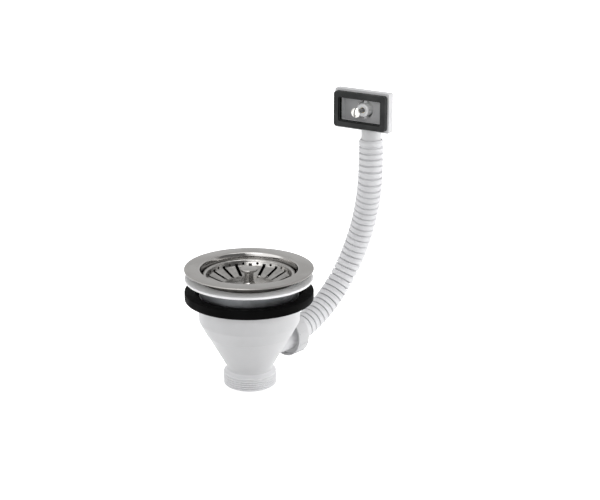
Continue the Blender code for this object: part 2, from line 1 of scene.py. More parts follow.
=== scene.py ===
# %% [markdown]
# # A kitchen sink's basket strainer waste, with its overflow
#
# The object hangs in the hole of a kitchen sink. A steel bowl with a flange lies in the hole, and a steel
# basket stands in the bowl. Under the sink a white funnel carries the water to the trap, and a corrugated
# hose brings it the water from a rectangular overflow head, higher up in the sink's wall.
#
# The sizes and places come from the finished CAD solids, so this script first loads them as a fixed frame.
# Each visible piece is then modelled again with the fine shapes that a close look needs, over the same place.

# %% Load the frame
import math

import bmesh
import bpy
from mathutils import Matrix, Vector


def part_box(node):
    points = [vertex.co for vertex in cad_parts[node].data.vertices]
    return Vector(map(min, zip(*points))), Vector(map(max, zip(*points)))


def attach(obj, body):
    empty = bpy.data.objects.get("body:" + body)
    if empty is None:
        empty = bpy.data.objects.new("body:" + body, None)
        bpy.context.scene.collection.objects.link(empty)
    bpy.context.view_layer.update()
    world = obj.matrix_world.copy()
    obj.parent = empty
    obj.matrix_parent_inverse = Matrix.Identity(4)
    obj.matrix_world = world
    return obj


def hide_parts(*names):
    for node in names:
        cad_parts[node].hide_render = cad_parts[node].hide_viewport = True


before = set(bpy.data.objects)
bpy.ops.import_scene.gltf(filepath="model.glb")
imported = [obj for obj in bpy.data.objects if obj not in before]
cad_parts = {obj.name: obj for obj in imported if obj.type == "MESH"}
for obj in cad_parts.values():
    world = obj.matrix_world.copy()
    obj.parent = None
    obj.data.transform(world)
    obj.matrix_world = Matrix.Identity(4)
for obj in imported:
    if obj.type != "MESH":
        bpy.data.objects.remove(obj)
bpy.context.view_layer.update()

# %% [markdown]
# ## The camera
#
# A camera matches a photo when its place, its tilt and its lens agree with the perspective of known shapes.
# Here the flange gives them: it is a true circle, so its ellipse tells the tilt, and the outlet far below it
# tells the distance. The camera stands 1.3 metres away and looks down at about 18 degrees.

# %% Camera
mm = 0.001
camera = bpy.data.objects.new("camera", bpy.data.cameras.new("camera"))
bpy.context.scene.collection.objects.link(camera)
camera.location = (45.2 * mm, -1258.2 * mm, 424.2 * mm)
camera.rotation_euler = (math.radians(90 - 17.92), 0, 0)
camera.data.sensor_width = 36
camera.data.lens = 90
camera.data.clip_start = 0.01
bpy.context.scene.camera = camera
print("camera is", round(camera.location.length, 3), "m from the origin")

# %% [markdown]
# ## Floor, world and lamps
#
# A product on a white page is lit by large soft lamps. The world is plain white only where the camera, a
# mirror surface or a see-through one looks at it: a Light Path node swaps in a white page there. All other
# rays see a modest grey room, so the object isn't flooded with light, and the white plastic keeps its soft
# shading. The floor is pale, and the same rays add most of a white to it, so it fades into the page but
# still takes the object's shadow. The part hangs from a sink, so the floor lies just below its outlet.
#
# Polished steel is only as lively as what it mirrors. So the page is even behind the object, where the
# camera looks, but the side behind the camera holds a bright card on the left and a dim corner on the right.
# That gives the bowl's far wall its white patch and its dark part. The direction comes from the world's
# generated coordinates.

# %% Helpers: links, rays and ramps
def wire(tree, *pairs):
    """Link sockets, given as (from, to) pairs."""
    for start, end in pairs:
        tree.links.new(start, end)


def seen_white(tree, level=1.0):
    """A factor that is the given level on camera, mirror and see-through rays, and 0 on all others."""
    path = tree.nodes.new("ShaderNodeLightPath")
    either = tree.nodes.new("ShaderNodeMath")
    either.operation = "MAXIMUM"
    whole = tree.nodes.new("ShaderNodeMath")
    whole.operation = "MAXIMUM"
    scaled = tree.nodes.new("ShaderNodeMath")
    scaled.operation = "MULTIPLY"
    scaled.inputs[1].default_value = level
    wire(tree, (path.outputs["Is Camera Ray"], either.inputs[0]),
         (path.outputs["Is Glossy Ray"], either.inputs[1]),
         (either.outputs[0], whole.inputs[0]), (path.outputs["Is Transmission Ray"], whole.inputs[1]),
         (whole.outputs[0], scaled.inputs[0]))
    return scaled.outputs[0]


def ramp(tree, value, start, end, low=0.0, high=1.0):
    """Map a value's way from start to end to the way from low to high, and stop there."""
    node = tree.nodes.new("ShaderNodeMapRange")
    for label, number in (("From Min", start), ("From Max", end), ("To Min", low), ("To Max", high)):
        node.inputs[label].default_value = number
    wire(tree, (value, node.inputs["Value"]))
    return node.outputs["Result"]


print("light helpers ready")

# %% World
world = bpy.data.worlds.new("studio")
bpy.context.scene.world = world
world.use_nodes = True
tree = world.node_tree
tree.nodes.clear()
room = tree.nodes.new("ShaderNodeBackground")
room.inputs["Color"].default_value = (0.98, 0.985, 1.0, 1)
room.inputs["Strength"].default_value = 0.42
page = tree.nodes.new("ShaderNodeBackground")
page.inputs["Color"].default_value = (1, 1, 1, 1)
toward = tree.nodes.new("ShaderNodeSeparateXYZ")
wire(tree, (tree.nodes.new("ShaderNodeTexCoord").outputs["Generated"], toward.inputs[0]))
card_or_corner = tree.nodes.new("ShaderNodeMath")
card_or_corner.operation = "MULTIPLY_ADD"
card_or_corner.inputs[2].default_value = 1.0
wire(tree, (ramp(tree, toward.outputs["X"], -0.25, 0.2, 1.3, -0.75), card_or_corner.inputs[0]),
     (ramp(tree, toward.outputs["Y"], 0.0, -0.3), card_or_corner.inputs[1]),
     (card_or_corner.outputs[0], page.inputs["Strength"]))
mix = tree.nodes.new("ShaderNodeMixShader")
out = tree.nodes.new("ShaderNodeOutputWorld")
wire(tree, (seen_white(tree), mix.inputs[0]), (room.outputs[0], mix.inputs[1]),
     (page.outputs[0], mix.inputs[2]), (mix.outputs[0], out.inputs["Surface"]))
bpy.context.scene.view_settings.view_transform = "Standard"
print("world light", room.inputs["Strength"].default_value)

# %% Floor
floor_mesh = bmesh.new()
bmesh.ops.create_grid(floor_mesh, x_segments=1, y_segments=1, size=4.0)
bmesh.ops.translate(floor_mesh, verts=floor_mesh.verts, vec=(0, 0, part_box("waste_body")[0][2] - 2 * mm))
mesh = bpy.data.meshes.new("floor")
floor_mesh.to_mesh(mesh)
floor_mesh.free()
floor = bpy.data.objects.new("floor", mesh)
bpy.context.scene.collection.objects.link(floor)

floor_finish = bpy.data.materials.new("pale_floor")
floor_finish.use_nodes = True
tree = floor_finish.node_tree
shader = tree.nodes["Principled BSDF"]
shader.inputs["Base Color"].default_value = (0.94, 0.94, 0.94, 1)
shader.inputs["Roughness"].default_value = 0.9
shader.inputs["Emission Color"].default_value = (1, 1, 1, 1)
wire(tree, (seen_white(tree, 0.8), shader.inputs["Emission Strength"]))
mesh.materials.append(floor_finish)
print("floor at", round(floor.data.vertices[0].co.z, 4), "m")

# %% [markdown]
# The two side lamps stand a little behind the object, so they brighten its edges and leave its middle
# quieter, which makes the funnel look round. They are hidden from mirror rays, because their images in the
# basket would be brighter than anything in the photo. The front lamp is low enough to shine in between the
# flange and the white washer.

# %% Lamps
def soft_box(name, place, target, width, height, power):
    """A rectangular lamp that faces a target."""
    lamp = bpy.data.lights.new(name, "AREA")
    lamp.shape = "RECTANGLE"
    lamp.size = width
    lamp.size_y = height
    lamp.energy = power
    made = bpy.data.objects.new(name, lamp)
    bpy.context.scene.collection.objects.link(made)
    made.location = place
    made.rotation_euler = (Vector(target) - Vector(place)).to_track_quat("-Z", "Y").to_euler()
    return made


middle = (0.04, 0.03, 0.0)
for name, place, power in (("right", (1.5, 0.1, 0.28), 14), ("left", (-1.45, 0.35, 0.25), 5.4)):
    soft_box(name, place, middle, 1.0, 0.7, power).visible_glossy = False
soft_box("top", (0.1, -0.2, 1.5), middle, 1.2, 1.0, 7.5)
soft_box("front", (-0.3, -1.65, 0.85), middle, 1.2, 0.4, 8)

# %% [markdown]
# ## Tools for turned pieces
#
# Most of this object is turned or moulded round an axis: a section line, spun through a full circle, gives
# the flange, the washers, the funnel and the nut. The section is written as radius and height. A moulded
# corner is never sharp, so a helper rounds the section's corners before it is spun. That is cheaper than a
# bevel on the finished shape, and it follows the turned surface exactly.

# %% Helper: finish an object
smooth_angle = math.radians(32)
bevel_angle = math.radians(30)


def publish(name, shape, material, body="waste", replaces=(), bevel=0.0):
    """Make the object of a finished bmesh, give it its finish and tie it to its CAD body."""
    mesh = bpy.data.meshes.new(name)
    shape.to_mesh(mesh)
    shape.free()
    mesh.shade_smooth()
    made = bpy.data.objects.new(name, mesh)
    bpy.context.scene.collection.objects.link(made)
    mesh.materials.append(material)
    if bevel:
        step = made.modifiers.new("edges", "BEVEL")
        step.width = bevel
        step.segments = 3
        step.limit_method = "ANGLE"
        step.angle_limit = bevel_angle
        step.harden_normals = True
        mesh.set_sharp_from_angle(angle=bevel_angle)
    else:
        mesh.set_sharp_from_angle(angle=smooth_angle)
    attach(made, body)
    if replaces:
        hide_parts(*replaces)
    print(name, "faces:", len(mesh.polygons))
    return made


# %% Helper: sections and turning
def arc(center, radius, start, end, steps=6):
    """Points of an arc in a section, between two angles in degrees."""
    turns = [math.radians(start + (end - start) * i / steps) for i in range(steps + 1)]
    return [(center[0] + radius * math.cos(a), center[1] + radius * math.sin(a)) for a in turns]


def rounded(section, radius, steps=3):
    """Round every corner of a closed section by one small radius, or less where a side is short."""
    made = []
    count = len(section)
    for i, point in enumerate(section):
        here = Vector(point)
        before = Vector(section[i - 1])
        after = Vector(section[(i + 1) % count])
        into, out = before - here, after - here
        turn = into.angle(out)
        if here.x < 1e-9 or turn > math.radians(172):
            made.append(tuple(here))
            continue
        cut = min(radius / math.tan(turn / 2), into.length * 0.45, out.length * 0.45)
        a, b = here + into.normalized() * cut, here + out.normalized() * cut
        for k in range(steps + 1):
            t = k / steps
            made.append(tuple(a * (1 - t) ** 2 + here * 2 * t * (1 - t) + b * t ** 2))
    return made


def turned(section, sides=128, frame_of=None):
    """Spin a section (radius, height) round Z. Sections that touch the axis close there."""
    shape = bmesh.new()
    points = [shape.verts.new((r, 0, z)) for r, z in section]
    pairs = list(zip(points, points[1:]))
    if min(r for r, z in section) > 1e-7:
        pairs.append((points[-1], points[0]))
    lines = [shape.edges.new(pair) for pair in pairs]
    bmesh.ops.spin(shape, geom=points + lines, cent=(0, 0, 0), axis=(0, 0, 1), dvec=(0, 0, 0),
                   angle=math.tau, steps=sides, use_merge=True)
    bmesh.ops.remove_doubles(shape, verts=shape.verts, dist=1e-6)
    bmesh.ops.recalc_face_normals(shape, faces=shape.faces)
    if frame_of is not None:
        bmesh.ops.transform(shape, matrix=frame_of, verts=shape.verts)
    return shape


def carved(shape, cutter, operation="DIFFERENCE"):
    """Cut or join two bmeshes and return the result as one bmesh."""
    pair = []
    for item in (shape, cutter):
        mesh = bpy.data.meshes.new("work")
        item.to_mesh(mesh)
        item.free()
        made = bpy.data.objects.new("work", mesh)
        bpy.context.scene.collection.objects.link(made)
        pair.append(made)
    step = pair[0].modifiers.new("cut", "BOOLEAN")
    step.operation = operation
    step.solver = "EXACT"
    step.object = pair[1]
    depsgraph = bpy.context.evaluated_depsgraph_get()
    result = bmesh.new()
    result.from_object(pair[0], depsgraph)
    for made in pair:
        mesh = made.data
        bpy.data.objects.remove(made)
        bpy.data.meshes.remove(mesh)
    return result


def together(*shapes):
    """One bmesh that holds several separate bodies."""
    whole = shapes[0]
    for item in shapes[1:]:
        mesh = bpy.data.meshes.new("work")
        item.to_mesh(mesh)
        item.free()
        whole.from_mesh(mesh)
        bpy.data.meshes.remove(mesh)
    return whole


def block(size, center, matrix=None):
    """A box by its sizes and its centre."""
    shape = bmesh.new()
    bmesh.ops.create_cube(shape, size=1.0)
    bmesh.ops.scale(shape, vec=size, verts=shape.verts)
    bmesh.ops.translate(shape, vec=center, verts=shape.verts)
    if matrix is not None:
        bmesh.ops.transform(shape, matrix=matrix, verts=shape.verts)
    return shape


print("helpers ready")

# %% [markdown]
# ## Finishes shared by several materials
#
# Each shared effect is one node group with named inputs and outputs, placed in each material with its own
# values. The groups give only colours, masks and heights, and the Principled shader stays in the material.
#
# * turned_lines: fine rings that a polishing wheel leaves on a spun sheet, from the distance to the axis.
# * handled: broad soft blotches and fine specks, for metal and rubber that has been touched.
# * moulded_skin: the faint orange peel and cloudiness of injection moulded plastic.

# %% Helper: node groups
def new_group(name, inputs, outputs):
    """An empty shader group with its sockets."""
    tree = bpy.data.node_groups.new(name, "ShaderNodeTree")
    for label, kind, value in inputs:
        socket = tree.interface.new_socket(label, in_out="INPUT", socket_type=kind)
        socket.default_value = value
    for label, kind in outputs:
        tree.interface.new_socket(label, in_out="OUTPUT", socket_type=kind)
    return tree, tree.nodes.new("NodeGroupInput"), tree.nodes.new("NodeGroupOutput")


def calc(tree, operation, *values):
    """A Math node fed by sockets or plain numbers."""
    node = tree.nodes.new("ShaderNodeMath")
    node.operation = operation
    for i, value in enumerate(values):
        if isinstance(value, (int, float)):
            node.inputs[i].default_value = value
        else:
            tree.links.new(value, node.inputs[i])
    return node.outputs[0]


def noise(tree, vector, scale, detail=2.0, rough=0.5):
    """A noise whose scale may be a socket."""
    node = tree.nodes.new("ShaderNodeTexNoise")
    node.inputs["Detail"].default_value = detail
    node.inputs["Roughness"].default_value = rough
    if isinstance(scale, (int, float)):
        node.inputs["Scale"].default_value = scale
    else:
        tree.links.new(scale, node.inputs["Scale"])
    tree.links.new(vector, node.inputs["Vector"])
    return node.outputs["Fac"]


def to_range(tree, value, low, high):
    """Map a noise's middle band to a range."""
    node = tree.nodes.new("ShaderNodeMapRange")
    node.inputs["From Min"].default_value = 0.3
    node.inputs["From Max"].default_value = 0.7
    tree.links.new(value, node.inputs["Value"])
    for label, end in (("To Min", low), ("To Max", high)):
        if isinstance(end, (int, float)):
            node.inputs[label].default_value = end
        else:
            tree.links.new(end, node.inputs[label])
    return node.outputs["Result"]


print("group helpers ready")

# %% Group: turned lines
tree, given, result = new_group(
    "turned_lines", [("Vector", "NodeSocketVector", (0, 0, 0)), ("Lines per m", "NodeSocketFloat", 2500.0)],
    [("Height", "NodeSocketFloat"), ("Tone", "NodeSocketFloat")])
parts = tree.nodes.new("ShaderNodeSeparateXYZ")
tree.links.new(given.outputs["Vector"], parts.inputs[0])
across = calc(tree, "SQRT", calc(tree, "ADD", calc(tree, "POWER", parts.outputs[0], 2.0),
                                 calc(tree, "POWER", parts.outputs[1], 2.0)))
run = calc(tree, "ADD", across, calc(tree, "MULTIPLY", parts.outputs[2], 0.7))
angle = calc(tree, "ARCTAN2", parts.outputs[1], parts.outputs[0])
spread = tree.nodes.new("ShaderNodeCombineXYZ")
wire(tree, (calc(tree, "MULTIPLY", run, given.outputs["Lines per m"]), spread.inputs[0]),
     (calc(tree, "MULTIPLY", angle, 5.0), spread.inputs[1]))
fine = noise(tree, spread.outputs[0], 1.0, 3.0, 0.6)
coarse = noise(tree, spread.outputs[0], 0.13, 2.0, 0.5)
wire(tree, (fine, result.inputs["Height"]),
     (calc(tree, "ADD", calc(tree, "MULTIPLY", fine, 0.5), calc(tree, "MULTIPLY", coarse, 0.5)),
      result.inputs["Tone"]))
turned_lines = tree
print("group:", tree.name)

# %% Group: handled
tree, given, result = new_group(
    "handled", [("Vector", "NodeSocketVector", (0, 0, 0)), ("Size", "NodeSocketFloat", 0.02)],
    [("Mask", "NodeSocketFloat"), ("Speck", "NodeSocketFloat")])
blotch = noise(tree, given.outputs["Vector"], calc(tree, "DIVIDE", 1.0, given.outputs["Size"]), 3.0, 0.55)
speck = noise(tree, given.outputs["Vector"], 1400.0, 1.0, 0.5)
wire(tree, (to_range(tree, blotch, 0.0, 1.0), result.inputs["Mask"]), (speck, result.inputs["Speck"]))
handled = tree
print("group:", tree.name)

# %% Group: moulded skin
tree, given, result = new_group(
    "moulded_skin", [("Vector", "NodeSocketVector", (0, 0, 0)), ("Grain per m", "NodeSocketFloat", 900.0)],
    [("Height", "NodeSocketFloat"), ("Cloud", "NodeSocketFloat")])
grain = noise(tree, given.outputs["Vector"], given.outputs["Grain per m"], 2.0, 0.5)
cloud = noise(tree, given.outputs["Vector"], 38.0, 3.0, 0.6)
wire(tree, (grain, result.inputs["Height"]), (to_range(tree, cloud, 0.0, 1.0), result.inputs["Cloud"]))
moulded_skin = tree
print("group:", tree.name)

# %% [markdown]
# ## The materials
#
# Steel is fully metallic. Its colour is a warm grey, and what makes brushed and polished steel differ is the
# roughness: about 0.35 on the flange, and less than half of that on the bowl's wall, which therefore mirrors
# the room. A finish that several pieces need in different tones comes from one small function for its kind.
# The plastic is white, a little cool, with a satin skin: the body's is a touch greyer than the
# hose's, and the washer's is the whitest. Rubber is nearly black and rough. A few darker and paler
# materials are painted shade and painted light on chosen faces.

# %% Helper: a material with mixed tone, roughness and relief
def surface(name, low, high, tone, rough_low, rough_high, rough_by, height=None, strength=0.0, depth=0.0001,
            metallic=0.0, **fixed):
    """Mix two colours and two roughness values by masks, and add a fine relief."""
    material = bpy.data.materials.new(name)
    material.use_nodes = True
    tree = material.node_tree
    shader = tree.nodes["Principled BSDF"]
    shader.inputs["Metallic"].default_value = metallic
    for label, value in fixed.items():
        shader.inputs[label.replace("_", " ")].default_value = value
    coords = tree.nodes.new("ShaderNodeTexCoord").outputs["Object"]
    cache = {}

    def effect(group, output, **values):
        key = (group.name, tuple(sorted(values.items())))
        if key not in cache:
            node = tree.nodes.new("ShaderNodeGroup")
            node.node_tree = group
            tree.links.new(coords, node.inputs["Vector"])
            for label, value in values.items():
                node.inputs[label.replace("_", " ")].default_value = value
            cache[key] = node
        return cache[key].outputs[output]

    blend = tree.nodes.new("ShaderNodeMix")
    blend.data_type = "RGBA"
    blend.inputs["A"].default_value = (*low, 1)
    blend.inputs["B"].default_value = (*high, 1)
    tree.links.new(effect(*tone[:2], **tone[2]), blend.inputs["Factor"])
    tree.links.new(blend.outputs["Result"], shader.inputs["Base Color"])
    tree.links.new(to_range(tree, effect(*rough_by[:2], **rough_by[2]), rough_low, rough_high),
                   shader.inputs["Roughness"])
    if height is not None:
        bump = tree.nodes.new("ShaderNodeBump")
        bump.inputs["Strength"].default_value = strength
        bump.inputs["Distance"].default_value = depth
        tree.links.new(effect(*height[:2], **height[2]), bump.inputs["Height"])
        tree.links.new(bump.outputs["Normal"], shader.inputs["Normal"])
    return material


print("material helper ready")

# %% Steel and brass
fine_lines = {"Lines_per_m": 2600.0}
close_lines = {"Lines_per_m": 5200.0}


def lined_metal(name, low, high, rough_low, rough_high, patch, relief):
    """Metal with turned lines in its tone and in its relief."""
    return surface(name, low, high, (turned_lines, "Tone", fine_lines), rough_low, rough_high,
                   (handled, "Mask", {"Size": patch}), (turned_lines, "Height", close_lines), relief, 0.00002,
                   metallic=1.0)


def dull_metal(name, low, high, rough_low, rough_high):
    """Metal with blotches in its tone and turned lines in its relief."""
    return surface(name, low, high, (handled, "Mask", {"Size": 0.01}), rough_low, rough_high,
                   (handled, "Mask", {"Size": 0.02}), (turned_lines, "Height", close_lines), 0.2, 0.00002,
                   metallic=1.0)


brushed = lined_metal("brushed_steel", (0.265, 0.257, 0.248), (0.335, 0.327, 0.315), 0.3, 0.42, 0.03, 0.25)
polished = lined_metal("polished_steel", (0.33, 0.322, 0.312), (0.42, 0.41, 0.4), 0.1, 0.2, 0.02, 0.1)
brass = lined_metal("brass", (0.62, 0.44, 0.2), (0.78, 0.6, 0.32), 0.22, 0.38, 0.006, 0.2)
dull = dull_metal("dull_steel", (0.22, 0.227, 0.238), (0.3, 0.31, 0.323), 0.5, 0.62)
# painted shade: a nearly black steel for the flange's shadow on the wall in the slit under the flange
painted_slit_shade = dull_metal("painted_slit_shade_steel", (0.08, 0.077, 0.072), (0.12, 0.116, 0.108), 0.3, 0.42)
pressed = surface(
    "pressed_steel", (0.24, 0.234, 0.226), (0.36, 0.352, 0.34), (handled, "Mask", {"Size": 0.006}),
    0.16, 0.34, (handled, "Mask", {"Size": 0.012}), (handled, "Speck", {"Size": 0.012}), 0.12, 0.00003, 1.0)
bright = surface(
    "bright_steel", (0.78, 0.77, 0.73), (0.88, 0.87, 0.83), (handled, "Mask", {"Size": 0.012}),
    0.26, 0.34, (handled, "Mask", {"Size": 0.012}), metallic=1.0)
# painted shade: a dark steel for the screw's slot and thread
screw_painted_shade = surface(
    "screw_painted_shade", (0.07, 0.07, 0.07), (0.14, 0.14, 0.14), (handled, "Mask", {"Size": 0.003}),
    0.3, 0.45, (handled, "Mask", {"Size": 0.004}), metallic=1.0)
print("steel and brass ready")

# %% Plastic and rubber
skin = {"Grain_per_m": 1100.0}
foam_skin = {"Grain_per_m": 1900.0}
see_in = {"Subsurface_Weight": 0.08, "Subsurface_Scale": 0.004, "Subsurface_Radius": (1, 1, 1)}


def plastic(name, low, high, rough_low, rough_high, **fixed):
    """Injection moulded plastic."""
    return surface(name, low, high, (moulded_skin, "Cloud", skin), rough_low, rough_high,
                   (moulded_skin, "Cloud", skin), (moulded_skin, "Height", skin), 0.12, 0.00004, **fixed)


def matt_rubber(name, low, high, specular):
    """Rubber with fine specks and a rough, uneven sheen."""
    return surface(name, low, high, (handled, "Mask", {"Size": 0.02}), 0.5, 0.68,
                   (handled, "Mask", {"Size": 0.012}), (handled, "Speck", {"Size": 0.012}), 0.3, 0.00004,
                   Specular_IOR_Level=specular)


white = plastic("white_plastic", (0.56, 0.56, 0.565), (0.6, 0.6, 0.605), 0.34, 0.44, **see_in)
# the hose's own paler plastic, which is also painted light on the body's outlet and branch pipe
hose_white_and_painted_light = plastic("hose_plastic", (0.67, 0.67, 0.68), (0.71, 0.71, 0.72), 0.34, 0.44, **see_in)
# painted shade: a greyer plastic for the shade in the bottoms of grooves
painted_groove_shade = plastic("groove_shade", (0.54, 0.54, 0.55), (0.6, 0.6, 0.61), 0.45, 0.55)
# painted shade: a greyer plastic for the frame's shade on the head tray's back
tray_painted_shade = plastic("tray_plastic_painted_shade", (0.37, 0.37, 0.375), (0.4, 0.4, 0.405), 0.45, 0.55)
# the washer's own white, which is also painted light on the walls round the head's boss
washer_white_and_painted_light = surface(
    "washer_plastic_and_painted_light", (0.93, 0.93, 0.93), (0.96, 0.96, 0.96), (moulded_skin, "Cloud", foam_skin),
    0.45, 0.6, (handled, "Mask", {"Size": 0.015}), (moulded_skin, "Height", foam_skin), 0.2, 0.00005,
    Subsurface_Weight=0.3, Subsurface_Scale=0.005, Subsurface_Radius=(1, 1, 1))
rubber = matt_rubber("black_rubber", (0.002, 0.002, 0.002), (0.004, 0.004, 0.004), 0.02)
worn_rubber = matt_rubber("grey_rubber", (0.017, 0.018, 0.018), (0.027, 0.028, 0.028), 0.2)
print("plastic and rubber ready")

# %% [markdown]
# ## The steel bowl
#
# The real bowl is pressed from one sheet: a flat flange, a tight bend at the mouth, a straight wall and a
# dished floor. It could be a solid with a pocket cut out, but a sheet is truer, because the wall's outside
# also shows between the flange and the gasket. So the section follows the upper side of the sheet and comes
# back one millimetre below it. Inside, the wall is a little narrower just under the mouth than at its foot,
# so it mirrors the basket more than the page. The wall's outside gets a duller finish of its own, and in the
# narrow slit under the flange it gets painted shade: a nearly black steel that stands for the flange's
# shadow. The drain holes are cut afterwards.

# %% Bowl
def sheet_section(line, thickness):
    """Close a section line with a copy of itself, a sheet's thickness to its left."""
    back = []
    for i, point in enumerate(line):
        here = Vector(point)
        into = (here - Vector(line[i - 1])).normalized() if i else None
        out = (Vector(line[i + 1]) - here).normalized() if i < len(line) - 1 else into
        into = into or out
        middle = (into + out).normalized()
        left = Vector((-middle.y, middle.x))
        stretch = 1 / max(left.dot(Vector((-into.y, into.x))), 0.5)
        back.append(tuple(here + left * thickness * stretch))
    return line + back[::-1]


outside = 44.3 * mm
slit_end = -8 * mm
line = [(57.2 * mm, 1.0 * mm)] + arc((44.8 * mm, -0.5 * mm), 1.5 * mm, 90, 165, 7) + [(42.5 * mm, -3.3 * mm)]
line += arc((39.3 * mm, -20.0 * mm), 4.0 * mm, 0, -90, 10)
line += arc((27.4 * mm, -27.0 * mm), 3.0 * mm, 90, 104, 3) + arc((13.6 * mm, -23.5 * mm), 4.0 * mm, -76, -90, 3)
line += [(5.0 * mm, -27.5 * mm)]
section = sheet_section(line, 1.0 * mm)
section = line + [(outside, z) if -19 * mm < z < -1.2 * mm else (r, z) for r, z in section[len(line):]]
wall_first = next(i for i, (r, z) in enumerate(section) if r == outside)
section.insert(wall_first, (outside, slit_end))
section[0] = (57.5 * mm, 0.7 * mm)
section.insert(1, (57.38 * mm, 0.93 * mm))
section.insert(2, (57.1 * mm, 1.0 * mm))
section[-1] = (57.5 * mm, 0.1 * mm)
section.insert(-1, (57.35 * mm, 0.0))
bowl = turned(section, 160)
print("bowl sheet faces:", len(bowl.faces))

# %% Drain holes
drain_count = 8
drain_radius = 4.5 * mm
drain_ring = 20 * mm
drains = None
for i in range(drain_count):
    hole = turned([(0, -20 * mm), (drain_radius, -20 * mm), (drain_radius, -31 * mm), (0, -31 * mm)], 24)
    spot = Matrix.Rotation(math.tau * i / drain_count, 4, "Z") @ Matrix.Translation((drain_ring, 0, 0))
    bmesh.ops.transform(hole, matrix=spot, verts=hole.verts)
    drains = hole if drains is None else together(drains, hole)
bowl = publish("bowl", carved(bowl, drains), brushed, replaces=["strainer_bowl"])

# %% Finishes of the bowl
for finish in (polished, dull, painted_slit_shade):
    bowl.data.materials.append(finish)
for face in bowl.data.polygons:
    across = math.hypot(face.center.x, face.center.y)
    outwards = face.center.x * face.normal.x + face.center.y * face.normal.y > 0.5 * across
    if outwards and across < 46 * mm and face.center.z < -1 * mm:
        # the wall's outside in the slit under the flange gets painted shade (index 3), lower down the duller
        # finish
        face.material_index = 2 if face.center.z < slit_end else 3
    elif across < 44.9 * mm and face.center.z < 0.93 * mm:
        face.material_index = 1
print("wall faces:", sum(f.material_index > 1 for f in bowl.data.polygons))

# %% [markdown]
# ## The basket
#
# The basket is pressed from thinner sheet: a rolled rim, a short steep wall with round holes, a cone with
# narrow slots and a flat floor. Cutting slots out of a finished solid leaves long thin faces that shade
# badly. Here one eighteenth of the surface is spun as a clean grid. The faces inside a slot and inside a
# hole are deleted, and the edge points are moved onto the slot's straight sides and the hole's circle.
# Copies of that wedge close the ring, and then the sheet gets its thickness.

# %% Basket wedge
slots = 18
columns = 16
wedge = math.tau / slots
step = wedge / columns
rim = arc((39.5 * mm, -6.0 * mm), 2.0 * mm, 0, 180, 12)
hole_middle = Vector((37.0 * mm, -7.4 * mm))
down_wall = (Vector((36.5 * mm, -8.8 * mm)) - Vector((37.5 * mm, -6.0 * mm))).normalized()
hole_radius = 1.2 * mm
rows = [(41.5 * mm, -7.4 * mm), (41.5 * mm, -6.7 * mm)] + rim
hole_first = len(rows)
rows += [tuple(hole_middle + down_wall * hole_radius * share) for share in (-1, -0.5, 0, 0.5, 1)]
slot_first = hole_first + 2
rows += [(36.45 * mm, -8.95 * mm), (36.1 * mm, -9.25 * mm)]
foot, root = Vector((36.1 * mm, -9.25 * mm)), Vector((24.0 * mm, -14.1 * mm))
rows += [tuple(foot.lerp(root, share)) for share in (0.15, 0.3, 0.45, 0.6, 0.75, 0.88, 1.0)]
slot_last = len(rows) - 1
rows += [(23.1 * mm, -14.38 * mm), (22.2 * mm, -14.5 * mm), (20.5 * mm, -14.5 * mm), (14 * mm, -14.5 * mm),
         (8 * mm, -14.5 * mm), (2.95 * mm, -14.5 * mm)]
basket = bmesh.new()
points = [basket.verts.new((r, 0, z)) for r, z in rows]
lines = [basket.edges.new(pair) for pair in zip(points, points[1:])]
bmesh.ops.spin(basket, geom=points + lines, cent=(0, 0, 0), axis=(0, 0, 1), dvec=(0, 0, 0), angle=wedge,
               steps=columns)
print("rows:", len(rows), "wedge faces:", len(basket.faces))

# %% Basket slots and holes
place = {}
for vert in basket.verts:
    column = round(math.atan2(vert.co.y, vert.co.x) / step)
    across = math.hypot(vert.co.x, vert.co.y)
    row = min(range(len(rows)), key=lambda i: (rows[i][0] - across) ** 2 + (rows[i][1] - vert.co.z) ** 2)
    place[vert] = (column, row)
slot_column, hole_column, reach = 4, 12, 2
open_faces = []
for face in basket.faces:
    spots = [place[v] for v in face.verts]
    in_slot = all(abs(c - slot_column) <= reach and slot_first <= r <= slot_last for c, r in spots)
    in_hole = all(abs(c - hole_column) <= reach and hole_first <= r <= hole_first + 4 for c, r in spots)
    if in_slot or in_hole:
        open_faces.append(face)
half_slot = 1.45 * mm
for vert, (column, row) in place.items():
    off = column - slot_column
    if abs(off) <= reach and slot_first <= row <= slot_last:
        across, height = rows[row]
        side = half_slot * off / reach
        bulge = math.sqrt(max(half_slot ** 2 - side ** 2, 0))
        if row == slot_last:
            along = (root - foot).normalized()
            across, height = across + along.x * bulge * 0.9, height + along.y * bulge * 0.9
        turn = slot_column * step + math.asin(side / across)
        vert.co = (across * math.cos(turn), across * math.sin(turn), height)
    c, w = column - hole_column, row - hole_first - 2
    if max(abs(c), abs(w)) == reach and abs(c) <= reach and abs(w) <= reach:
        way = Vector((c, w)).normalized() * hole_radius
        spot = hole_middle + down_wall * way.y
        turn = hole_column * step + way.x / hole_middle.x
        vert.co = (spot.x * math.cos(turn), spot.x * math.sin(turn), spot.y)
bmesh.ops.delete(basket, geom=open_faces, context="FACES")
phase = math.radians(90) - slot_column * step
bmesh.ops.rotate(basket, verts=basket.verts, cent=(0, 0, 0), matrix=Matrix.Rotation(phase, 3, "Z"))
bmesh.ops.spin(basket, geom=basket.verts[:] + basket.edges[:] + basket.faces[:], cent=(0, 0, 0), axis=(0, 0, 1),
               dvec=(0, 0, 0), angle=math.tau * (slots - 1) / slots, steps=slots - 1, use_duplicate=True)
bmesh.ops.remove_doubles(basket, verts=basket.verts, dist=2e-6)
bmesh.ops.recalc_face_normals(basket, faces=basket.faces)
print("basket faces:", len(basket.faces), "open edges:", sum(e.is_boundary for e in basket.edges))

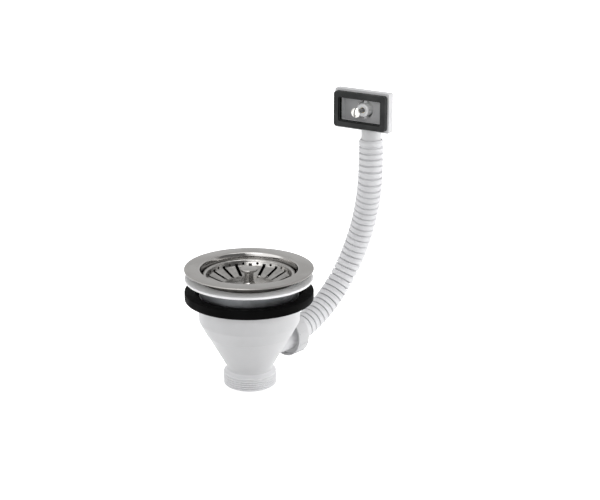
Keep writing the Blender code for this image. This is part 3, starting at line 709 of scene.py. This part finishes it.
# %% Basket sheet
if sum(f.normal.z for f in basket.faces) < 0:
    bmesh.ops.reverse_faces(basket, faces=basket.faces)
basket = publish("basket", basket, pressed, "basket", ["strainer_basket"])
basket.modifiers.new("sheet", "SOLIDIFY").thickness = 0.8 * mm
basket.modifiers["sheet"].offset = -1
edges = basket.modifiers.new("edges", "BEVEL")
edges.width = 0.15 * mm
edges.segments = 2
edges.angle_limit = math.radians(50)
edges.harden_normals = True

# %% [markdown]
# ## The knob
#
# The knob is a turned piece: a flat cap with a soft edge, a waist that fingers can grip under, and a foot on
# the basket's floor. Its stem goes through the floor and down into the hollow centre screw, where a rubber
# ring in a groove grips it. One section gives all of it.

# %% Knob
section = [(0, 0.4 * mm)] + arc((6.7 * mm, -0.4 * mm), 0.8 * mm, 90, 0, 6) + [(7.5 * mm, -1.2 * mm)]
section += arc((7.0 * mm, -1.4 * mm), 0.5 * mm, 0, -90, 3) + [(5.6 * mm, -2.1 * mm)]
section += arc((6.6 * mm, -5.0 * mm), 2.6 * mm, 125, 180, 6)
section += [(3.9 * mm, -8.5 * mm), (4.2 * mm, -11.2 * mm), (4.6 * mm, -12.6 * mm), (5.2 * mm, -13.5 * mm),
            (5.2 * mm, -14.2 * mm), (2.6 * mm, -14.2 * mm)]
section += [(2.6 * mm, -30.7 * mm), (2.0 * mm, -30.7 * mm), (2.0 * mm, -32.5 * mm), (2.6 * mm, -32.5 * mm),
            (2.6 * mm, -35.1 * mm), (2.0 * mm, -35.7 * mm), (0, -35.7 * mm)]
knob = publish("knob", turned(section, 64), polished, "basket", ["basket_knob"])
knob.data.materials.append(brushed)
for face in knob.data.polygons:
    if face.normal.z > 0.4:
        face.material_index = 1

# %% [markdown]
# ## The washer and the gasket
#
# A thin white ring lies round the bowl and goes between the flange and the sink. The black ring below the
# sink is thick rubber with a skirt that hides the body's rim, and with a step round its hole, past which the
# bowl's wall shows. Moulded and stamped rings have slightly soft corners, which catch a thin line of light,
# so their sections are rounded before they are spun.

# %% Washer and gasket
section = rounded([(44.6 * mm, -7.3 * mm), (57 * mm, -7.3 * mm), (57 * mm, -9.3 * mm), (44.6 * mm, -9.3 * mm)],
                  0.45 * mm, 3)
washer = publish("washer", turned(section, 144), washer_white_and_painted_light, replaces=["flange_washer"])
section = [(44.6 * mm, -22.8 * mm), (48.2 * mm, -22.8 * mm), (48.2 * mm, -19.5 * mm), (57.5 * mm, -19.5 * mm),
           (57.5 * mm, -27.4 * mm), (55.3 * mm, -27.4 * mm), (55.3 * mm, -24.1 * mm), (44.6 * mm, -24.1 * mm)]
gasket = publish("gasket", turned(rounded(section, 0.8 * mm, 4), 144), rubber, replaces=["body_gasket"])

# %% [markdown]
# ## The funnel body
#
# The body is one injection moulding. Its outside is a turned section: rim, barrel, a straight cone with a
# faint step round it, a short neck and the outlet, whose lower part carries the thread. The ridges of the
# thread are drawn in the section, two millimetres apart as in the photo. The branch is a second turned shape
# on its own axis, joined to the cone, and then the funnel's inside and the branch's bore are cut out of both.
# The outlet and the branch pipe get painted light: they share the hose's paler plastic, so they look whiter
# than the cone. The narrow ring at the lower end of the thread gets painted shade, a greyer plastic.

# %% Body shell
def ridges(radius, depth, start, pitch, count):
    """Points of a thread profile, flat ridges with narrow grooves, that runs down from a start height."""
    made = []
    for i in range(count):
        top = start - i * pitch
        made += [(radius - depth, top), (radius - depth * 0.3, top - pitch * 0.15),
                 (radius, top - pitch * 0.28), (radius, top - pitch * 0.72),
                 (radius - depth * 0.3, top - pitch * 0.85)]
    return made + [(radius - depth, start - count * pitch)]


outlet_radius = 23.75 * mm
thread_depth = 0.9 * mm
thread_top = -98.2 * mm
thread_pitch = 1.95 * mm
thread_count = 5
outer = [(0, -24.4 * mm)] + arc((54.5 * mm, -24.9 * mm), 0.5 * mm, 90, 0, 3)
outer += arc((54.5 * mm, -26.4 * mm), 0.5 * mm, 0, -90, 3)
outer += [(45.9 * mm, -26.9 * mm), (45.3 * mm, -27.3 * mm), (45.2 * mm, -28.0 * mm), (45.2 * mm, -46.6 * mm)]
outer += [(45.16 * mm, -47.1 * mm), (45.02 * mm, -47.6 * mm), (44.8 * mm, -48.1 * mm)]
outer += [(39.15 * mm, -58.6 * mm), (39.05 * mm, -59.3 * mm), (38.3 * mm, -59.9 * mm), (37.75 * mm, -60.5 * mm)]
outer += [(21.3 * mm, -90.0 * mm), (20.9 * mm, -90.9 * mm), (20.8 * mm, -91.6 * mm), (20.8 * mm, -92.7 * mm),
          (21.1 * mm, -93.3 * mm), (22.9 * mm, -95.2 * mm), (23.4 * mm, -95.6 * mm), (23.7 * mm, -96.3 * mm)]
outer += ridges(outlet_radius, thread_depth, thread_top, thread_pitch, thread_count)
outer += [(22.9 * mm, -108.1 * mm), (22.6 * mm, -108.2 * mm), (0, -108.2 * mm)]
body = turned(outer, 160)
branch_place = Vector((0, 0, -75.8 * mm))
branch_angle = math.radians(47.5)
branch = (Matrix.Translation(branch_place) @ Matrix.Rotation(branch_angle, 4, "Z")
          @ Matrix.Rotation(math.pi / 2, 4, "Y"))
pipe_radius = 14 * mm
pipe = [(0, 0), (pipe_radius, 0), (pipe_radius, 47.6 * mm), (14.4 * mm, 48.3 * mm), (15 * mm, 48.7 * mm),
        (18.0 * mm, 48.7 * mm), (18.6 * mm, 49.4 * mm), (18.0 * mm, 50.1 * mm), (18.6 * mm, 50.8 * mm),
        (18.0 * mm, 51.5 * mm), (18.5 * mm, 52.2 * mm), (18.2 * mm, 52.6 * mm), (0, 52.6 * mm)]
body = carved(body, turned(pipe, 96, branch), "UNION")
print("body shell faces:", len(body.faces))

# %% Body inside
inside = [(0, -22 * mm), (43 * mm, -22 * mm), (43 * mm, -46.9 * mm), (18.85 * mm, -90.1 * mm),
          (18.85 * mm, -110 * mm), (0, -110 * mm)]
body = carved(body, turned(inside, 128))
bore = [(0, 0), (10.5 * mm, 0), (10.5 * mm, 55 * mm), (0, 55 * mm)]
body = carved(body, turned(bore, 64, branch))
body = publish("body", body, white, replaces=["waste_body"])

# %% Finishes of the body
body.data.materials.append(painted_groove_shade)
body.data.materials.append(hose_white_and_painted_light)
to_branch = branch.inverted()
thread_foot = thread_top - thread_count * thread_pitch
for face in body.data.polygons:
    spot = to_branch @ face.center
    across = math.hypot(face.center.x, face.center.y)
    on_pipe = spot.z > 0 and abs(math.hypot(spot.x, spot.y) - pipe_radius) < 0.1 * mm
    on_outlet = face.center.z < -93.3 * mm and across > 20 * mm
    # painted shade on the ring at the thread's lower end, painted light on the outlet and the branch pipe
    if face.center.z < thread_foot and across > outlet_radius - thread_depth - 0.05 * mm:
        face.material_index = 1
    elif on_pipe or on_outlet:
        face.material_index = 2
print("faces at the foot and of paler plastic:", *[sum(f.material_index == i for f in body.data.polygons)
                                                  for i in (1, 2)])

# %% [markdown]
# ## The branch nut
#
# A union nut presses the hose's collar onto the branch. It is a short cap with a thin skirt, open towards the
# funnel, so a dark ring shows between the skirt and the branch. A few low ribs along the skirt give grip.

# %% Branch nut
section = [(11.8 * mm, 58.4 * mm), (19.0 * mm, 58.4 * mm), (19.6 * mm, 57.8 * mm), (19.6 * mm, 45.1 * mm),
           (19.3 * mm, 44.7 * mm), (18.9 * mm, 44.7 * mm), (18.9 * mm, 56.8 * mm), (11.8 * mm, 56.8 * mm)]
nut = turned(rounded(section, 0.3 * mm, 2), 120)
for i in range(12):
    turn = Matrix.Rotation(math.tau * (i + 0.5) / 12, 4, "Z")
    bar = block((0.7 * mm, 1.6 * mm, 10.6 * mm), (19.62 * mm, 0, 51.6 * mm), turn)
    nut = carved(nut, bar, "UNION")
bmesh.ops.transform(nut, matrix=branch, verts=nut.verts)
nut = publish("nut", nut, white, replaces=["branch_nut"])

# %% [markdown]
# ## The corrugated hose
#
# The hose is blow moulded: wide rounded ribs with narrow grooves between them, and a plain cuff in the nut.
# The grooves are tighter near the nut, where the hose is bent, and open up towards the head. Their bottoms
# carry painted shade, a greyer plastic, which reaches further up their sides near the nut.
# It is held at both ends, so its line is fixed: straight out of the nut, one smooth bend, and straight up
# onto the head's stub. The simplest way to model a bent corrugated tube is to turn it straight, as if it
# lay on a lathe, and then to carry each ring of points to its place along the line.

# %% Hose line
branch_out = Vector((math.cos(branch_angle), math.sin(branch_angle), 0))
head = Matrix.Translation((98 * mm, 60.5 * mm, 128.3 * mm)) @ Matrix.Rotation(math.radians(-33), 4, "Z")
elbow_reach = 22.8 * mm
hose_start = branch_place + branch_out * 59.4 * mm
stub_top = head @ Vector((0, elbow_reach, -30 * mm))
hose_end = stub_top - Vector((0, 0, 12 * mm))
span = hose_end - hose_start
low_pole = hose_start + Vector([a * b for a, b in zip(span, (1.035, 2.83, 0.117))])
high_pole = hose_start + Vector([a * b for a, b in zip(span, (0.967, 0.857, 0.81))])
poles = [hose_start, hose_start + branch_out * 18.7 * mm, low_pole, high_pole,
         hose_end - Vector((0, 0, 43.8 * mm)), hose_end]
line_steps = 300
line = [hose_start - branch_out * 4.3 * mm]
for i in range(line_steps + 1):
    t = i / line_steps
    line.append(sum((p * math.comb(5, k) * (1 - t) ** (5 - k) * t ** k for k, p in enumerate(poles)), Vector()))
line.append(stub_top)
length = [0.0]
for a, b in zip(line, line[1:]):
    length.append(length[-1] + (b - a).length)
last = len(line) - 1
headings = [(line[min(i + 1, last)] - line[max(i - 1, 0)]).normalized() for i in range(last + 1)]
side = Vector((0, 0, 1))
sides = []
for forward in headings:
    side = (side - forward * side.dot(forward)).normalized()
    sides.append(side.copy())
total = length[-1]
print("hose length", round(total, 4), "m")


def bent(shape):
    """Carry a straight shape on the Z axis to the hose's line: its height becomes the length along it."""
    for vert in shape.verts:
        where = min(max(vert.co.z, 0.0), total)
        i = 1
        while i < len(length) - 1 and length[i] < where:
            i += 1
        share = (where - length[i - 1]) / (length[i] - length[i - 1])
        forward = headings[i - 1].lerp(headings[i], share).normalized()
        up = sides[i - 1].lerp(sides[i], share)
        up = (up - forward * up.dot(forward)).normalized()
        vert.co = line[i - 1].lerp(line[i], share) + up * vert.co.x + forward.cross(up) * vert.co.y
    return shape


# %% Hose
bore_radius = 8.9 * mm
outer = [(18.3 * mm, 0.2 * mm), (18.3 * mm, 1.2 * mm), (11.6 * mm, 1.4 * mm), (11.4 * mm, 2.0 * mm)]
groove_count = 35
grooves = [16.3 * mm]
while len(grooves) < groove_count:
    share = len(grooves) / (groove_count - 1)
    grooves.append(grooves[-1] + (6.38 - 0.72 * max(share - 0.3, 0) / 0.7) * mm)
shrink = (total - 0.6 * mm - grooves[0]) / (grooves[-1] - grooves[0])
grooves = [grooves[0] + (g - grooves[0]) * shrink for g in grooves]
outer += [(11.4 * mm, grooves[0] - 3 * mm), (11.4 * mm, grooves[0] - 1.2 * mm)]
for a, b in zip(grooves, grooves[1:]):
    pitch = b - a
    wide = (0.62 + 0.38 * a / total) * mm
    outer += [(11.2 * mm, a - 0.95 * wide), (10.5 * mm, a - 0.75 * wide), (9.7 * mm, a - 0.5 * wide),
              (9.5 * mm, a - 0.2 * wide), (9.5 * mm, a + 0.2 * wide), (9.7 * mm, a + 0.5 * wide),
              (10.5 * mm, a + 0.75 * wide), (11.2 * mm, a + 0.95 * wide), (11.5 * mm, a + 1.3 * wide),
              (11.42 * mm, a + pitch * 0.36), (11.25 * mm, a + pitch * 0.5), (11.42 * mm, a + pitch * 0.64),
              (11.5 * mm, a + pitch - 1.3 * wide)]
outer += [(11.2 * mm, total - 1.3 * mm), (10.6 * mm, total - 0.7 * mm), (10.3 * mm, total)]
socket_end = total - 12.6 * mm
inner = [(9.85 * mm, total), (9.85 * mm, total - 12.3 * mm), (bore_radius, socket_end)]
inner += [(bore_radius, socket_end - i * 4.5 * mm) for i in range(1, 46)] + [(bore_radius, 0.2 * mm)]
hose = turned(outer + inner, 48)
# painted shade: groove faces below shade_top get the greyer plastic, more of each groove near the nut
for face in hose.faces:
    spot = face.calc_center_median()
    shade_top = (10.4 - 0.85 * spot.z / total) * mm
    if 9.3 * mm < math.hypot(spot.x, spot.y) < shade_top and spot.z < total - 2 * mm:
        face.material_index = 1
hose = publish("hose", bent(hose), hose_white_and_painted_light, replaces=["overflow_hose"])
hose.data.materials.append(painted_groove_shade)

# %% [markdown]
# ## The overflow head
#
# The head is a shallow tray with an elbow behind it. Water comes over the sink's slot into the tray, through
# the round opening round the boss, and down the stub into the hose. The tray is a block with rounded corners,
# the elbow is a turned shape with a domed end, and the boss stands in the opening between two bridges. The
# walls round the boss are thin and let some light through, and they also get painted light: the washer's paler
# plastic brightens them in the opening's shade. The tray's back gets painted shade, a greyer plastic, for the
# frame's shade on it.

# %% Head
def plate(width, depth, height, front, corner, steps=5):
    """A plate that faces -Y, with its four corners rounded."""
    shape = block((width, depth, height), (0, front + depth / 2, 0))
    along = [e for e in shape.edges if abs(e.verts[0].co.y - e.verts[1].co.y) > depth / 2]
    bmesh.ops.bevel(shape, geom=along, offset=corner, offset_type="OFFSET", segments=steps, profile=0.5,
                    affect="EDGES", material=-1)
    return shape


back = Matrix.Rotation(-math.pi / 2, 4, "X")
over_stub = Matrix.Translation((0, elbow_reach, 0))
tray = plate(56.0 * mm, 7.4 * mm, 36.0 * mm, 5.0 * mm, 1.0 * mm)
back_edges = [e for e in tray.edges if all(abs(v.co.y - 12.4 * mm) < 1e-6 for v in e.verts)]
bmesh.ops.bevel(tray, geom=back_edges, offset=0.4 * mm, offset_type="OFFSET", segments=3, profile=0.5,
                affect="EDGES", material=-1)
elbow = arc((0, elbow_reach), 10.8 * mm, 90, 0, 12)
elbow[0] = (0, elbow_reach + 10.8 * mm)
elbow += [(10.8 * mm, 11.4 * mm), (0, 11.4 * mm)]
tray = carved(tray, turned(elbow, 64, back), "UNION")
stub = [(0, 0), (9.25 * mm, 0), (9.25 * mm, -41.6 * mm), (8.9 * mm, -42 * mm), (0, -42 * mm)]
tray = carved(tray, turned(stub, 64, over_stub), "UNION")
tray_back = 10.4 * mm
tray = carved(tray, plate(43.2 * mm, tray_back - 3.0 * mm, 22.2 * mm, 3.0 * mm, 1.5 * mm))
mouth = [(0, 27 * mm), (8.4 * mm, elbow_reach), (8.4 * mm, 9 * mm), (0, 9 * mm)]
tray = carved(tray, turned(mouth, 64, back))
bore = [(0, 0), (7.4 * mm, 0), (7.4 * mm, -44 * mm), (0, -44 * mm)]
tray = carved(tray, turned(bore, 64, over_stub))
boss = [(2.5 * mm, 6.4 * mm), (5.6 * mm, 6.4 * mm), (6.0 * mm, 6.8 * mm), (6.0 * mm, 15.5 * mm),
        (3.9 * mm, 15.5 * mm), (3.9 * mm, 6.75 * mm), (2.5 * mm, 6.75 * mm)]
tray = carved(tray, turned(boss, 64, back), "UNION")
for above in (1, -1):
    bridge = block((2.6 * mm, 3.5 * mm, 4.5 * mm), (0, 13.15 * mm, above * 7.45 * mm))
    tray = carved(tray, bridge, "UNION")
# painted shade on the tray's back, painted light on the walls round the boss
for face in tray.faces:
    spot = face.calc_center_median()
    if abs(spot.y - tray_back) < 0.05 * mm:
        face.material_index = 2
    elif math.hypot(spot.x, spot.z) < 8.6 * mm and 6 * mm < spot.y < 27.5 * mm:
        face.material_index = 1
bmesh.ops.transform(tray, matrix=head, verts=tray.verts)
tray = publish("head", tray, white, replaces=["overflow_head"])
tray.data.materials.append(washer_white_and_painted_light)
tray.data.materials.append(tray_painted_shade)

# %% [markdown]
# ## The head's gasket and screw
#
# A rubber frame with a thin lip round its opening seals the tray against the sink's wall. Its deep inner sides
# get painted shade, the black rubber, so its face looks greyer than them. The bright screw stands out of it,
# because it still waits for the cover plate that it will hold. Its shank ends in the brass insert inside the
# boss. The dome and its slot are modelled. The slot's inside and the thread get painted shade, a dark steel.

# %% Overflow gasket
frame_ring = plate(53.2 * mm, 4.7 * mm, 32.2 * mm, 0, 2.6 * mm)
frame_ring = carved(frame_ring, plate(41.6 * mm, 9 * mm, 20.6 * mm, -2 * mm, 1.0 * mm))
frame_ring = carved(frame_ring, plate(43.2 * mm, 3.6 * mm, 22.2 * mm, -2 * mm, 1.4 * mm))
bmesh.ops.transform(frame_ring, matrix=head, verts=frame_ring.verts)
seal = publish("overflow_seal", frame_ring, worn_rubber, replaces=["overflow_gasket"],
               bevel=0.35 * mm)
seal.data.materials.append(rubber)
to_head = head.inverted()
# painted shade: the deep inner sides get the black rubber
for face in seal.data.polygons:
    spot = to_head @ face.center
    sideways = abs((to_head.to_3x3() @ face.normal).y) < 0.5
    if sideways and abs(spot.x) < 23 * mm and abs(spot.z) < 12.5 * mm:
        face.material_index = 1

# %% Overflow screw
dome_back = -5.2 * mm
slot_tilt = math.radians(8)
shank_crest = 2.0 * mm
shank_root = 1.6 * mm
section = arc((0, -2.3 * mm), 5.9 * mm, -90, -47, 8)
section[0] = (0, -8.2 * mm)
section += [(4.45 * mm, -6.1 * mm), (4.5 * mm, -5.8 * mm), (4.3 * mm, dome_back), (shank_crest, dome_back)]
for i in range(26):
    behind = dome_back + 0.3 * mm + i * 0.7 * mm
    section += [(shank_root, behind), (shank_crest, behind + 0.35 * mm)]
section += [(shank_root, 13.6 * mm), (0, 13.9 * mm)]
screw = turned(section, 48, back)
slot_cut = block((1.2 * mm, 3.0 * mm, 14 * mm), (0, -8.4 * mm, 0), Matrix.Rotation(slot_tilt, 4, "Y"))
screw = carved(screw, slot_cut)
bmesh.ops.transform(screw, matrix=head, verts=screw.verts)
screw = publish("cover_screw", screw, bright, replaces=["overflow_screw"])
screw.data.materials.append(screw_painted_shade)
# painted shade on the slot's inside and on the thread
for face in screw.data.polygons:
    spot = to_head @ face.center
    in_slot = spot.y < dome_back and abs(spot.x - spot.z * math.tan(slot_tilt)) < 0.63 * mm
    if in_slot or spot.y > dome_back - 0.1 * mm:
        face.material_index = 1

# %% [markdown]
# ## The hidden pieces
#
# The hub on its bars, the centre screw, the two inserts, the seals and the ring on the stem are plain shapes
# that hardly show, and their CAD solids are already right. They stay, and only get their real finish.

# %% Finishes of the hidden pieces
finishes = {"hub_spider": white, "center_screw": brushed, "center_insert": brass, "plug_seal": rubber,
            "seal_nut": bright, "stem_grip_ring": rubber, "branch_seal": rubber, "overflow_insert": brass}
for node, finish in finishes.items():
    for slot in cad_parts[node].material_slots:
        slot.material = finish
    print(node, "->", finish.name)
